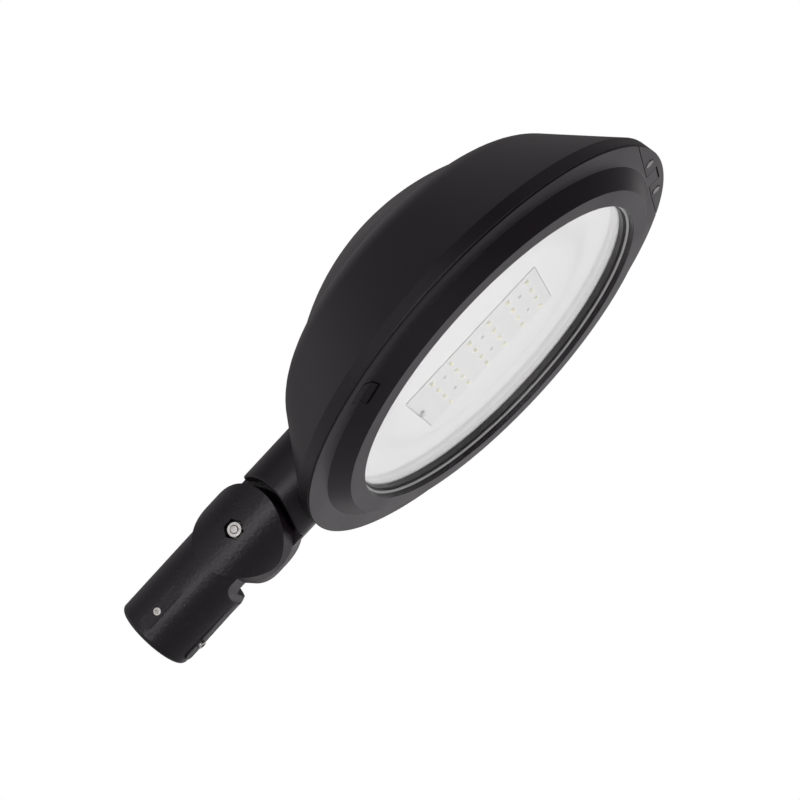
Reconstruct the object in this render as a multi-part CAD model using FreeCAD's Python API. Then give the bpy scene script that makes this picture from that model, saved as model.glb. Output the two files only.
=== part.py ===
"""Round LED street light head on a tilting pole socket.

The socket slides over a pole end, a clamped knuckle carries the head, and the head is a
bell-shaped casting with a domed cap above and a glazed frame below.
Millimetres. The origin is the centre of the socket's mouth, +X runs from the pole to the
head's tip and +Z is up. The head's own pieces are drawn about the head's upright axis,
with height 0 at the frame's lowest face, and the knuckle's pieces about the pivot.
"""
import FreeCAD, Part
import math
import os

V = FreeCAD.Vector
AXIS_X = V(1, 0, 0)
AXIS_Y = V(0, 1, 0)
AXIS_Z = V(0, 0, 1)
CENTRE = V(0, 0, 0)

# Pole socket
POLE_DIA = 60.0
POLE_CLEARANCE = 1.0
SOCKET_WALL = 6.4
TUBE_DRAFT = 0.9
MOUTH_ROUND = 4.4
SOCKET_DEPTH = 73.0
SOCKET_FLOOR = 4.5
SOCKET_R = POLE_DIA / 2 + POLE_CLEARANCE
MOUTH_R = SOCKET_R + SOCKET_WALL
TUBE_R = MOUTH_R + TUBE_DRAFT

# Clamping pads and grub screws on the socket
GRUB_X = 27.0
GRUB_R = 4.0
SIDE_GRUB_PROUD = 0.9
LOWER_GRUB_PROUD = 3.3
GRUB_CHAMFER = 0.6
GRUB_HEX = 4.0
GRUB_HEX_DEPTH = 4.0
PAD_START = 8.0
PAD_WIDTH = 12.0
PAD_PROUD = 1.3
PAD_CORNER = 5.0
SIDE_PAD_LENGTH = 46.0
LOWER_PAD_LENGTH = 62.0
SIDE_TURN = -90.0
LOWER_TURN = 0.0

# Knuckle: the socket's half disc on the near side, the head's on the far side
KNUCKLE_MARGIN = 5.5
KNUCKLE_DRAFT = 2.5
KNUCKLE_RIM = 14.0
KNUCKLE_STEP = 0.25
JOINT_Y = 1.5
JOINT_GAP = 0.3
ARM_GAP = 4.7
ARM_ROUND = 2.0
NECK_WALL = 5.0
CAVITY_RIM = 13.2
CAVITY_FLOOR = 5.0
BOLT_BOSS_R = 12.0
CABLE_WAY_HEIGHT = 16.0
CABLE_WAY_INSET = 3.0
RELIEF_CLEARANCE = 0.6
RELIEF_R = 12.0
FAR_RELIEF_CLEARANCE = 6.8
KNUCKLE_R = TUBE_R + KNUCKLE_MARGIN
KNUCKLE_FACE_Y = TUBE_R + KNUCKLE_STEP
CAVITY_OUTER_R = KNUCKLE_R - CAVITY_RIM
ARM_END_R = KNUCKLE_R + ARM_GAP
RELIEF_HEIGHT = math.sqrt(ARM_END_R ** 2 - TUBE_R ** 2) - RELIEF_CLEARANCE
RELIEF_BACK = TUBE_R + RELIEF_CLEARANCE
FAR_RELIEF_BACK = TUBE_R + FAR_RELIEF_CLEARANCE
FAR_RELIEF_HEIGHT = math.sqrt(ARM_END_R ** 2 - FAR_RELIEF_BACK ** 2)
PIVOT_X = SOCKET_DEPTH + SOCKET_FLOOR + ARM_END_R

# Pivot bolt
BOLT_R = 4.0
BOLT_RUNNING = 0.05
BOLT_CLEARANCE = 0.2
WASHER_GAP = 0.1
BOLT_HEX = 13.0
BOLT_HEAD_HEIGHT = 5.3
NUT_HEIGHT = 6.8
NUT_DEPTH = 2.0
WASHER_R = 7.0
WASHER_THICKNESS = 1.6
BOLT_END_PROUD = 1.0
POCKET_HEX = 17.0
HEX_CHAMFER = 0.9

# Frame below the seam
RIM_R = 220.0
FLANGE_WIDTH = 21.0
SLOPE_RUN = 15.0
COLLAR_WIDTH = 17.0
SLOPE_OUTER_R = RIM_R - FLANGE_WIDTH
COLLAR_OUTER_R = SLOPE_OUTER_R - SLOPE_RUN
COLLAR_INNER_R = COLLAR_OUTER_R - COLLAR_WIDTH
FLANGE_Z = 12.5
FRAME_WALL = 3.0
RIM_EDGE = 0.3
RIM_HEIGHT = 1.0
SEAM = 0.8
STEP_GAP = 0.4
LEDGE_GAP = 0.6
COLLAR_LEDGE_Z = 9.0
BEAD_WIDTH = 2.6
BEAD_HEIGHT = 1.2
BEAD_FALL = 1.0
UPSTAND_WALL = 2.0
UPSTAND_Z = 12.0

# Head position
PIVOT_TO_RIM = 52.0
SOCKET_HEIGHT = 62.0
HEAD_REACH = RIM_R + PIVOT_TO_RIM

# Glass and its gasket
GLASS_SEATING = 6.0
GLASS_R = COLLAR_INNER_R + GLASS_SEATING
GLASS_THICKNESS = 4.0
GASKET_SEAT = 5.0
GASKET_WALL = 4.0
GASKET_TOP_LIP = 2.0
GASKET_LIP_OVERLAP = 4.5
GASKET_SHOWN = 1.0
EDGE_GAP = 0.3

# Glass clips
CLIP_COUNT = 6
CLIP_WIDTH = 14.0
CLIP_THICKNESS = 1.2
CLIP_REACH = 3.2
CLIP_SCREW_OFFSET = 3.5
CLIP_SCREW_R = COLLAR_OUTER_R + CLIP_SCREW_OFFSET
CLIP_BOSS_R = 4.0
CLIP_FOOT = 5.5

# Side windows with their hooks
HOOK_ANGLE = 120.0
HOOK_WIDTH = 20.2
HOOK_SHIFT = 0.4
WINDOW_GAP = 0.8
WINDOW_ON_SLOPE = 6.1
WINDOW_ON_FLANGE = 11.2
WINDOW_INNER_R = SLOPE_OUTER_R - WINDOW_ON_SLOPE
WINDOW_OUTER_R = SLOPE_OUTER_R + WINDOW_ON_FLANGE
HOOK_THICKNESS = 2.0
HOOK_HOLD = 7.0

# Tip latch
LATCH_DEPTH = 19.7
LATCH_CHORD_X = RIM_R - LATCH_DEPTH
LATCH_GAP = 0.7
TAB_WIDTH = 26.0
TAB_LENGTH = 12.0
TAB_END_GAP = 1.6
LATCH_SCREW_INSET = 13.0
LATCH_SCREW_X = RIM_R - LATCH_SCREW_INSET
LATCH_SCREW_Y = 34.0
LATCH_SCREW_R = 2.5
LATCH_HEAD_R = 4.2
LATCH_HEAD_HEIGHT = 2.2
LATCH_RECESS_R = 4.9
LATCH_RECESS_DEPTH = 1.7

# Upper housing
WALL = 3.0
LIP_HEIGHT = 11.3
LIP_THICKNESS = 3.0
LIP_DRAFT = 0.6
LIP_ROUND = 1.1
CREASE_ROUND = 0.8
SHOULDER_INSET = 54.0
SHOULDER_CORNER_R = RIM_R - SHOULDER_INSET
SHOULDER_CORNER_Z = 105.5
SHOULDER_ROUND = 48.0
CAP_INSET = 24.5
CAP_R = SHOULDER_CORNER_R - CAP_INSET
CAP_Z = 113.3
CAP_REBATE = 2.5
CAP_SEAT_WIDTH = 23.5
CAP_OPENING_R = CAP_R - CAP_SEAT_WIDTH
RIM_LEDGE = 14.0
RIM_LEDGE_THICKNESS = 3.5
GROOVE_WIDTH = 5.0
GROOVE_DEPTH = 2.2
SEAL_WIDTH = 4.0
BOSS_R = 7.0
BOSS_INSET = 44.0
BOSS_CIRCLE_R = RIM_R - BOSS_INSET
BOSS_COUNT = 4
LATCH_BOSS_R = 4.6
LATCH_BOSS_TOP = 32.0

# Domed cap
CAP_RISE = 52.0
CAP_EDGE = 0.8
CAP_WALL = 2.5
CAP_GAP = 0.5
CAP_FLANGE = 3.0
CAP_SEAL_THICKNESS = 1.0
CAP_SEAL_WIDTH = 5.0
CAP_SEAL_INSET = 2.5
CAP_SCREW_INSET = 15.5
CAP_SCREW_CIRCLE_R = CAP_R - CAP_SCREW_INSET
CAP_BOSS_R = 5.0
CAP_BOSS_HEIGHT = 10.0

# Mounting plate and light engine
PLATE_Z = 40.0
PLATE_THICKNESS = 2.5
PLATE_INSET = 32.0
PLATE_R = RIM_R - PLATE_INSET
PLATE_HOLE_R = 7.0
PLATE_HOLE_X = -110.0
TRAY_WALL = 1.4
TRAY_RIM_INSET = 2.5
TRAY_WALL_RUN = 24.5
TRAY_CONE_RUN = 29.0
TRAY_RISE = 8.0
TRAY_CORNER = 35.0
TRAY_EASE = 40.0
TRAY_RIM_GAP = 0.3
TRAY_RIM_R = COLLAR_INNER_R - TRAY_RIM_INSET
TRAY_DEEP_R = TRAY_RIM_R - TRAY_WALL_RUN
TRAY_PLATFORM_R = TRAY_DEEP_R - TRAY_CONE_RUN
BOARD_Z = 23.0
BOARD_THICKNESS = 1.6
BOARD_PROUD = 0.4
BOARD_GAP = 0.8
BOARD_BACK_INSET = 23.0
BOARD_FRONT_INSET = 38.0
BOARD_SIDE_INSET = 61.5
BOARD_CORNER = 2.0
BOARD_X_MIN = BOARD_BACK_INSET - TRAY_PLATFORM_R
BOARD_X_MAX = TRAY_PLATFORM_R - BOARD_FRONT_INSET
BOARD_WIDTH = 2 * (TRAY_PLATFORM_R - BOARD_SIDE_INSET)
SPREADER_OVERLAP = 2.0
LED_ROWS = 6
LEDS_PER_ROW = 4
LED_END_BORDER = 13.0
LED_SIDE_BORDER = 11.4
LED_SIZE = 5.0
LED_BASE = 0.8
LED_DOME_R = 2.1
LED_PITCH_X = 2 * (BOARD_X_MAX - LED_END_BORDER) / (LED_ROWS - 1)
LED_PITCH_Y = (BOARD_WIDTH - 2 * LED_SIDE_BORDER) / (LEDS_PER_ROW - 1)
BOARD_SCREW_INSET = 27.5
CONNECTOR_INSET = 1.0
CONNECTOR_LENGTH = 5.0
CONNECTOR_WIDTH = 8.0
CONNECTOR_HEIGHT = 2.5

# Control gear on the plate
DRIVER_LENGTH = 150.0
DRIVER_WIDTH = 62.0
DRIVER_HEIGHT = 36.0
DRIVER_FLANGE = 9.0
DRIVER_FLANGE_THICKNESS = 3.0
DRIVER_Y = -42.0
DRIVER_X = 15.0
SURGE_LENGTH = 62.0
SURGE_WIDTH = 34.0
SURGE_HEIGHT = 28.0
SURGE_X = 30.0
SURGE_Y = 52.0
TERMINAL_LENGTH = 24.0
TERMINAL_WIDTH = 46.0
TERMINAL_HEIGHT = 20.0
TERMINAL_X = -92.0
TERMINAL_Y = 42.0
TERMINAL_WAYS = 3
CLAMP_INSET = 38.0
CLAMP_X = CLAMP_INSET - PLATE_R
CLAMP_LENGTH = 14.0
CLAMP_WIDTH = 40.0
CLAMP_HEIGHT = 16.0
CLAMP_CABLE_R = 5.5
CASE_ROUND = 3.0
LEAD_R = 2.2
LEAD_BEND = 9.0

# Where every turned piece has its closing edge
CLOSING_ANGLE = 75.0

# Small screws
M2_R = 1.0
M2_HEAD_R = 1.8
M2_HEAD_HEIGHT = 1.0
M3_R = 1.5
M3_HEAD_R = 2.8
M3_HEAD_HEIGHT = 1.8
M4_R = 2.0
M4_HEAD_R = 3.6
M4_HEAD_HEIGHT = 2.4
M5_R = 2.5
M5_HEAD_R = 4.4
M5_HEAD_HEIGHT = 2.8
THREAD_FIT = 0.05
SCREW_CLEARANCE = 0.3
SCREW_GRIP = 8.0

# Heights worked out from the sizes above
FRAME_TOP = FLANGE_Z + FRAME_WALL
RIM_TOP = FLANGE_Z + RIM_HEIGHT
LIP_Z = RIM_TOP + SEAM
HOUSING_Z = FRAME_TOP + LEDGE_GAP
LIP_TOP = LIP_Z + LIP_HEIGHT
LIP_INNER_R = RIM_R - LIP_THICKNESS
LEDGE_TOP = HOUSING_Z + RIM_LEDGE_THICKNESS
GLASS_Z = COLLAR_LEDGE_Z + GASKET_SEAT
GLASS_TOP = GLASS_Z + GLASS_THICKNESS
GASKET_TOP = GLASS_TOP + GASKET_TOP_LIP
GASKET_OUTER_R = GLASS_R + EDGE_GAP + GASKET_WALL
UPSTAND_INNER_R = GASKET_OUTER_R + EDGE_GAP
SEAT_Z = CAP_Z - CAP_REBATE
BOARD_TOP = BOARD_Z + BOARD_THICKNESS
TRAY_Z = BOARD_Z + BOARD_PROUD
TRAY_BACK_Z = TRAY_Z + TRAY_WALL
PLATE_TOP = PLATE_Z + PLATE_THICKNESS
HEAD_X = PIVOT_X + HEAD_REACH
POCKET_Y = TUBE_R - NUT_DEPTH - NUT_HEIGHT - WASHER_THICKNESS - WASHER_GAP
NEAR_FACE_Y = JOINT_Y - JOINT_GAP / 2
FAR_FACE_Y = JOINT_Y + JOINT_GAP / 2


def corner(before, at, after, radius):
    """The two tangent points and the middle of the arc that rounds a corner."""
    to_before = (before - at).normalize()
    to_after = (after - at).normalize()
    half = to_before.getAngle(to_after) / 2
    reach = radius / math.tan(half)
    bisector = (to_before + to_after).normalize()
    middle = at + bisector * (radius / math.sin(half) - radius)
    return at + to_before * reach, middle, at + to_after * reach


def rounded_edges(points, closed):
    """Straight runs and tangent arcs through (point, corner radius) pairs."""
    count = len(points)
    starts = []
    ends = []
    arcs = []
    for i, (point, radius) in enumerate(points):
        inner = closed or 0 < i < count - 1
        if inner and radius > 0:
            first, middle, last = corner(points[i - 1][0], point, points[(i + 1) % count][0], radius)
            arcs.append(Part.Arc(first, middle, last).toShape())
            ends.append(first)
            starts.append(last)
        else:
            arcs.append(None)
            ends.append(point)
            starts.append(point)
    edges = []
    for i in range(count):
        if arcs[i] is not None:
            edges.append(arcs[i])
        following = (i + 1) % count
        if following == 0 and not closed:
            continue
        if starts[i].distanceToPoint(ends[following]) > 1e-6:
            edges.append(Part.makeLine(starts[i], ends[following]))
    return edges


def section(points):
    """A closed face in the XZ plane from (radius, height) or (radius, height, corner round)."""
    placed = []
    for point in points:
        round_r = point[2] if len(point) == 3 else 0.0
        placed.append((V(point[0], 0, point[1]), round_r))
    return Part.Face(Part.Wire(rounded_edges(placed, True)))


def turned(points):
    """A section turned about the head's upright axis, its closing edge clear of holes and bosses."""
    face = section(points)
    face.rotate(CENTRE, AXIS_Z, CLOSING_ANGLE)
    return face.revolve(CENTRE, AXIS_Z, 360)


def strip(points, width):
    """A section given a width along Y, centred on the XZ plane."""
    face = section(points)
    face.translate(V(0, -width / 2, 0))
    return face.extrude(V(0, width, 0))


def block(x0, x1, y0, y1, z0, z1):
    """A box between two corners."""
    return Part.makeBox(x1 - x0, y1 - y0, z1 - z0, V(x0, y0, z0))


def rounded_block(x0, x1, y0, y1, z0, z1, radius):
    """A box with its upright edges rounded."""
    corners = [(V(x0, y0, z0), radius), (V(x1, y0, z0), radius),
               (V(x1, y1, z0), radius), (V(x0, y1, z0), radius)]
    face = Part.Face(Part.Wire(rounded_edges(corners, True)))
    return face.extrude(V(0, 0, z1 - z0))


def post(radius, z0, z1, x=0.0, y=0.0):
    """An upright cylinder."""
    return Part.makeCylinder(radius, z1 - z0, V(x, y, z0), AXIS_Z)


def axle(radius, y0, y1, x=0.0, z=0.0):
    """A level cylinder across the socket, between two planes."""
    return Part.makeCylinder(radius, y1 - y0, V(x, y0, z), AXIS_Y)


def ring(inner, outer, z0, z1):
    """A flat ring about the head's axis."""
    return post(outer, z0, z1).cut(post(inner, z0 - 1, z1 + 1))


def hexagon(across, y0, y1):
    """A hexagonal bar along Y with two flats level."""
    corner_r = across / math.sqrt(3)
    points = [V(corner_r * math.cos(math.radians(a)), y0, corner_r * math.sin(math.radians(a)))
              for a in range(0, 360, 60)]
    face = Part.Face(Part.makePolygon(points + points[:1]))
    return face.extrude(V(0, y1 - y0, 0))


def around(shape, count, first=0.0):
    """Copies of a shape spaced evenly about the head's axis."""
    copies = []
    for i in range(count):
        copy = shape.copy()
        copy.rotate(CENTRE, AXIS_Z, first + 360.0 * i / count)
        copies.append(copy)
    return copies


def screw(x, y, seat_z, direction, shank_r, head_r, head_height, length):
    """A pan-head screw whose head bears on seat_z; direction is +1 where the shank goes up."""
    head = Part.makeCylinder(head_r, head_height, V(x, y, seat_z), AXIS_Z * -direction)
    shank = Part.makeCylinder(shank_r, length, V(x, y, seat_z), AXIS_Z * direction)
    return head.fuse(shank).removeSplitter()


def in_line(z, across, first, second):
    """The radius at height z of the line through two points, moved inwards by across."""
    run = second[0] - first[0]
    rise = second[1] - first[1]
    length = math.hypot(run, rise)
    shifted = first[0] - across * rise / length
    lifted = first[1] + across * run / length
    return shifted + run * (z - lifted) / rise


def meeting(across, first, second, third):
    """Where two outline runs meet once both have moved inwards by across."""
    def moved(a, b):
        length = math.hypot(b[0] - a[0], b[1] - a[1])
        normal = (-(b[1] - a[1]) / length * across, (b[0] - a[0]) / length * across)
        return (a[0] + normal[0], a[1] + normal[1]), (b[0] - a[0], b[1] - a[1])
    (ax, az), (ux, uz) = moved(first, second)
    (bx, bz), (wx, wz) = moved(second, third)
    step = ((bx - ax) * wz - (bz - az) * wx) / (ux * wz - uz * wx)
    return ax + ux * step, az + uz * step


def to_head(shape):
    """Moves a piece drawn about the head's axis to its place."""
    moved = shape.copy()
    moved.translate(V(HEAD_X, 0, -SOCKET_HEIGHT))
    return moved


def to_pivot(shape):
    """Moves a piece drawn about the pivot to its place."""
    moved = shape.copy()
    moved.translate(V(PIVOT_X, 0, 0))
    return moved


def knuckle_body():
    """Disc about the pivot, a little wider than the tube, whose faces thin to a narrow rim."""
    # The faces are an ellipse that leaves the rim its width at the disc's edge.
    shrink = math.sqrt(1 - (KNUCKLE_RIM / 2 / KNUCKLE_FACE_Y) ** 2)
    face = Part.Face(Part.Wire(Part.Ellipse(CENTRE, KNUCKLE_R / shrink, KNUCKLE_FACE_Y).toShape()))
    # The ellipse is drawn with its long axis along X and turned to stand upright, square to the tube.
    face.rotate(CENTRE, AXIS_Y, 90)
    face.translate(V(-KNUCKLE_R - 1, 0, 0))
    bar = face.extrude(V(2 * KNUCKLE_R + 2, 0, 0))
    # The disc draws in towards its two faces.
    reach = KNUCKLE_FACE_Y + 1
    small_r = KNUCKLE_R - KNUCKLE_DRAFT
    near, far = (Part.makeCone(KNUCKLE_R, small_r, reach, CENTRE, AXIS_Y * side) for side in (-1, 1))
    return bar.common(near.fuse(far))


def pad(length, turn):
    """Raised pad that is proud at the mouth and dies into the tube."""
    outline = [(V(PAD_START, -PAD_WIDTH / 2, 0), PAD_CORNER),
               (V(PAD_START + length, -PAD_WIDTH / 2, 0), 0.0),
               (V(PAD_START + length, PAD_WIDTH / 2, 0), 0.0),
               (V(PAD_START, PAD_WIDTH / 2, 0), PAD_CORNER)]
    plan = Part.Face(Part.Wire(rounded_edges(outline, True))).extrude(V(0, 0, -TUBE_R - PAD_PROUD))
    end = PAD_START + length
    end_r = MOUTH_R + TUBE_DRAFT * end / PIVOT_X - EDGE_GAP
    start_r = MOUTH_R + PAD_PROUD
    wedge = strip([(0, 0), (0, -start_r), (PAD_START, -start_r), (end, -end_r), (end, 0)], 2 * PAD_WIDTH)
    shape = plan.common(wedge)
    shape.rotate(CENTRE, AXIS_X, turn)
    return shape


def grub(turn, proud):
    """Grub screw with a hexagon socket, its tip level with the socket's wall."""
    start = -SOCKET_R - EDGE_GAP
    length = SOCKET_WALL + proud - EDGE_GAP
    body = Part.makeCylinder(GRUB_R, length, V(GRUB_X, 0, start), AXIS_Z * -1)
    outer = [edge for edge in body.Edges if edge.BoundBox.ZMax < start - length + 1e-3]
    body = body.makeChamfer(GRUB_CHAMFER, outer)
    key = hexagon(GRUB_HEX, 0, GRUB_HEX_DEPTH)
    key.rotate(CENTRE, AXIS_X, 90)
    key.translate(V(GRUB_X, 0, start - length))
    shape = body.cut(key)
    shape.rotate(CENTRE, AXIS_X, turn)
    return shape


def side_grub_screw():
    """Grub screw on the near side."""
    return grub(SIDE_TURN, SIDE_GRUB_PROUD)


def lower_grub_screw():
    """Grub screw below."""
    return grub(LOWER_TURN, LOWER_GRUB_PROUD)


def grub_hole(turn):
    """Threaded hole through the pad and the tube's wall."""
    hole = Part.makeCylinder(GRUB_R + THREAD_FIT, TUBE_R, V(GRUB_X, 0, -SOCKET_R / 2), AXIS_Z * -1)
    hole.rotate(CENTRE, AXIS_X, turn)
    return hole


def half_disc(near):
    """One half of the knuckle about the pivot, on one side of the joint faces."""
    y0, y1 = (-2 * TUBE_R, NEAR_FACE_Y) if near else (FAR_FACE_Y, 2 * TUBE_R)
    return knuckle_body().common(axle(2 * KNUCKLE_R, y0, y1))


def knuckle_hollow(near):
    """Ring-shaped hollow behind a half's joint face, where the cable passes the bolt."""
    floor = POCKET_Y - CAVITY_FLOOR
    y0, y1 = (-floor, NEAR_FACE_Y + 1) if near else (FAR_FACE_Y - 1, floor)
    return axle(CAVITY_OUTER_R, y0, y1).cut(axle(BOLT_BOSS_R, y0 - 1, y1 + 1))


def cable_way(x0, x1, near):
    """Straight way for the cable between a half's hollow and its tube."""
    floor = POCKET_Y - CAVITY_FLOOR
    if near:
        y0, y1 = -floor, NEAR_FACE_Y - CABLE_WAY_INSET
    else:
        y0, y1 = FAR_FACE_Y + CABLE_WAY_INSET, floor
    return block(x0, x1, y0, y1, -CABLE_WAY_HEIGHT / 2, CABLE_WAY_HEIGHT / 2)


def bolt_pocket(near):
    """Hexagonal pocket in a half's outer face."""
    if near:
        return hexagon(POCKET_HEX, -TUBE_R - 1, -POCKET_Y)
    return hexagon(POCKET_HEX, POCKET_Y, TUBE_R + 1)


def spigot_casting():
    """Pole socket, clamping pads and the near half of the knuckle."""
    tube = Part.makeCone(MOUTH_R, TUBE_R, PIVOT_X, V(-PIVOT_X, 0, 0), AXIS_X)
    mouth = [edge for edge in tube.Edges if edge.BoundBox.XMax < -PIVOT_X + 1e-3]
    tube = tube.makeFillet(MOUTH_ROUND, mouth)
    # The underside is cut back so that the head can turn down until its neck is upright.
    relief = axle(RELIEF_R, -TUBE_R - 1, TUBE_R + 1, -RELIEF_BACK, -RELIEF_HEIGHT - RELIEF_R)
    below = block(-RELIEF_BACK, 0, -TUBE_R - 1, TUBE_R + 1, -TUBE_R - RELIEF_R, -RELIEF_HEIGHT)
    far_end = axle(ARM_END_R, NEAR_FACE_Y, TUBE_R + 1)
    far_below = block(-FAR_RELIEF_BACK, 0, NEAR_FACE_Y, TUBE_R + 1, -TUBE_R - 1, -FAR_RELIEF_HEIGHT)
    body = tube.cut(relief.fuse(below)).cut(far_end).cut(far_below).fuse(half_disc(True))
    for turn, length in ((SIDE_TURN, SIDE_PAD_LENGTH), (LOWER_TURN, LOWER_PAD_LENGTH)):
        raised = pad(length, turn)
        raised.translate(V(-PIVOT_X, 0, 0))
        body = body.fuse(raised)
    body = body.cut(Part.makeCylinder(SOCKET_R, SOCKET_DEPTH + 1, V(-PIVOT_X - 1, 0, 0), AXIS_X))
    body = body.cut(knuckle_hollow(True)).cut(bolt_pocket(True))
    way = cable_way(-ARM_END_R - SOCKET_FLOOR - 1, -BOLT_BOSS_R, True)
    body = body.cut(way.cut(axle(BOLT_BOSS_R, -TUBE_R, TUBE_R)))
    body = to_pivot(body.cut(axle(BOLT_R + BOLT_CLEARANCE, -TUBE_R - 1, TUBE_R + 1)))
    return body.cut(grub_hole(SIDE_TURN)).cut(grub_hole(LOWER_TURN)).removeSplitter()


def pivot_bolt():
    """Hexagon bolt across the knuckle, its head in the far pocket."""
    seat = POCKET_Y + WASHER_GAP + WASHER_THICKNESS
    head = bevelled_hexagon(seat, seat + BOLT_HEAD_HEIGHT, True)
    end = -seat - NUT_HEIGHT - BOLT_END_PROUD
    shank = axle(BOLT_R, end, seat)
    tip = [edge for edge in shank.Edges if edge.BoundBox.YMax < end + 1e-3]
    shank = shank.makeChamfer(HEX_CHAMFER, tip)
    return to_pivot(head.fuse(shank).removeSplitter())


def bevelled_hexagon(y0, y1, outer_high):
    """Hexagon with its outer corners turned off, as on a nut or a bolt head."""
    bar = hexagon(BOLT_HEX, y0, y1)
    corner_r = BOLT_HEX / math.sqrt(3)
    inner_r = BOLT_HEX / 2
    slope = (corner_r - inner_r) * math.tan(math.radians(30)) + HEX_CHAMFER
    wide = corner_r + slope / math.tan(math.radians(30))
    if outer_high:
        cone = Part.makeCone(wide, inner_r, y1 - y0, V(0, y0, 0), AXIS_Y)
    else:
        cone = Part.makeCone(inner_r, wide, y1 - y0, V(0, y0, 0), AXIS_Y)
    return bar.common(cone)


def pivot_nut():
    """Hexagon nut in the near pocket."""
    inner = -POCKET_Y - WASHER_GAP - WASHER_THICKNESS
    body = bevelled_hexagon(inner - NUT_HEIGHT, inner, False)
    return to_pivot(body.cut(axle(BOLT_R + THREAD_FIT, inner - NUT_HEIGHT - 1, inner + 1)))


def pivot_washers():
    """Plain washers under the bolt head and the nut."""
    washers = []
    for start in (-POCKET_Y - WASHER_GAP - WASHER_THICKNESS, POCKET_Y + WASHER_GAP):
        disc = axle(WASHER_R, start, start + WASHER_THICKNESS)
        hole = axle(BOLT_R + BOLT_CLEARANCE, start - 1, start + WASHER_THICKNESS + 1)
        washers.append(to_pivot(disc.cut(hole)))
    return Part.makeCompound(washers)


def neck():
    """Head's side of the knuckle about the pivot: the far half disc and the tube to the bell."""
    length = HEAD_REACH - CAP_OPENING_R
    tube = Part.makeCylinder(TUBE_R, length, CENTRE, AXIS_X)
    end = axle(ARM_END_R, -TUBE_R - 1, TUBE_R + 1)
    near_side = block(0, length, -TUBE_R - 1, FAR_FACE_Y, -TUBE_R, TUBE_R)
    short = tube.cut(end)
    rim = [edge for edge in short.Edges if edge.BoundBox.XMax < ARM_END_R + 1]
    short = short.makeFillet(ARM_ROUND, rim)
    tube = tube.cut(near_side).fuse(short)
    body = tube.fuse(half_disc(False))
    inside = Part.makeCylinder(TUBE_R - NECK_WALL, length, CENTRE, AXIS_X)
    inside = inside.cut(axle(ARM_END_R + NECK_WALL, -TUBE_R - 1, TUBE_R + 1))
    return body, inside


def housing_outline():
    """Lip, skirt, rounded shoulder and top of the bell, from the rim to the cap."""
    return [(RIM_R, LIP_Z, LIP_ROUND), (RIM_R - LIP_DRAFT, LIP_TOP, CREASE_ROUND),
            (SHOULDER_CORNER_R, SHOULDER_CORNER_Z, SHOULDER_ROUND), (CAP_R, CAP_Z)]


def bell(across):
    """The bell as a full solid, with every wall moved inwards by across."""
    rim, lip, shoulder, top = housing_outline()
    lip_in = meeting(across, rim, lip, shoulder)
    shoulder_in = meeting(across, lip, shoulder, top)
    if across == 0:
        points = [(0, rim[1]), rim, lip, shoulder, top, (0, top[1])]
        return turned(points)
    roof = SEAT_Z - across
    roof_r = in_line(roof, across, shoulder, top)
    floor = LIP_Z - SEAM / 2
    points = [(0, floor), (in_line(floor, across, rim, lip), floor), lip_in,
              (*shoulder_in, SHOULDER_ROUND - across), (roof_r, roof), (0, roof)]
    return turned(points)


def upper_housing():
    """Bell-shaped casting with its neck and half of the knuckle, hollow and open below."""
    arm, arm_inside = neck()
    for shape in (arm, arm_inside):
        shape.translate(V(-HEAD_REACH, 0, SOCKET_HEIGHT))
    body = bell(0).fuse(arm).cut(arm_inside)
    inside = bell(WALL)
    mouth = post(RIM_R - RIM_LEDGE, LIP_Z - 1, LEDGE_TOP + 1)
    behind_lip = post(LIP_INNER_R, LIP_Z - 1, HOUSING_Z)
    above_ledge = inside.cut(block(-RIM_R, RIM_R, -RIM_R, RIM_R, LIP_Z - 1, LEDGE_TOP))
    body = body.cut(above_ledge).cut(mouth).cut(behind_lip)
    seat = post(CAP_R, SEAT_Z, CAP_Z + 1)
    opening = post(CAP_OPENING_R, SEAT_Z - WALL - 1, CAP_Z + 1)
    groove = ring(LIP_INNER_R - GROOVE_WIDTH, LIP_INNER_R, HOUSING_Z - 1, HOUSING_Z + GROOVE_DEPTH)
    body = body.cut(seat).cut(opening).cut(groove)
    limit = bell(WALL / 2)
    plate_boss = post(BOSS_R, PLATE_TOP, SEAT_Z, BOSS_CIRCLE_R).common(limit)
    for boss in around(plate_boss, BOSS_COUNT, 180.0 / BOSS_COUNT):
        body = body.fuse(boss)
    for side in (-1, 1):
        y = side * LATCH_SCREW_Y
        boss = post(LATCH_BOSS_R, LEDGE_TOP - 1, LATCH_BOSS_TOP, LATCH_SCREW_X, y)
        body = body.fuse(boss.common(limit))
    thread = post(M5_R + THREAD_FIT, PLATE_TOP - 1, PLATE_TOP + 2 * SCREW_GRIP, BOSS_CIRCLE_R)
    for hole in around(thread, BOSS_COUNT, 180.0 / BOSS_COUNT):
        body = body.cut(hole)
    for side in (-1, 1):
        body = body.cut(post(LATCH_SCREW_R + THREAD_FIT, HOUSING_Z - 1, LATCH_BOSS_TOP - WALL,
                             LATCH_SCREW_X, side * LATCH_SCREW_Y))
    cap_hole = post(M4_R + SCREW_CLEARANCE, SEAT_Z - WALL - 1, SEAT_Z + 1, CAP_SCREW_CIRCLE_R)
    for hole in around(cap_hole, BOSS_COUNT):
        body = body.cut(hole)
    joint = knuckle_hollow(False).fuse(bolt_pocket(False)).fuse(axle(BOLT_R + BOLT_RUNNING, 0, TUBE_R + 1))
    way = cable_way(BOLT_BOSS_R, ARM_END_R + NECK_WALL + 1, False).cut(axle(BOLT_BOSS_R, 0, TUBE_R))
    joint = joint.fuse(way)
    joint.translate(V(-HEAD_REACH, 0, SOCKET_HEIGHT))
    return to_head(body.cut(joint).removeSplitter())


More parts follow.
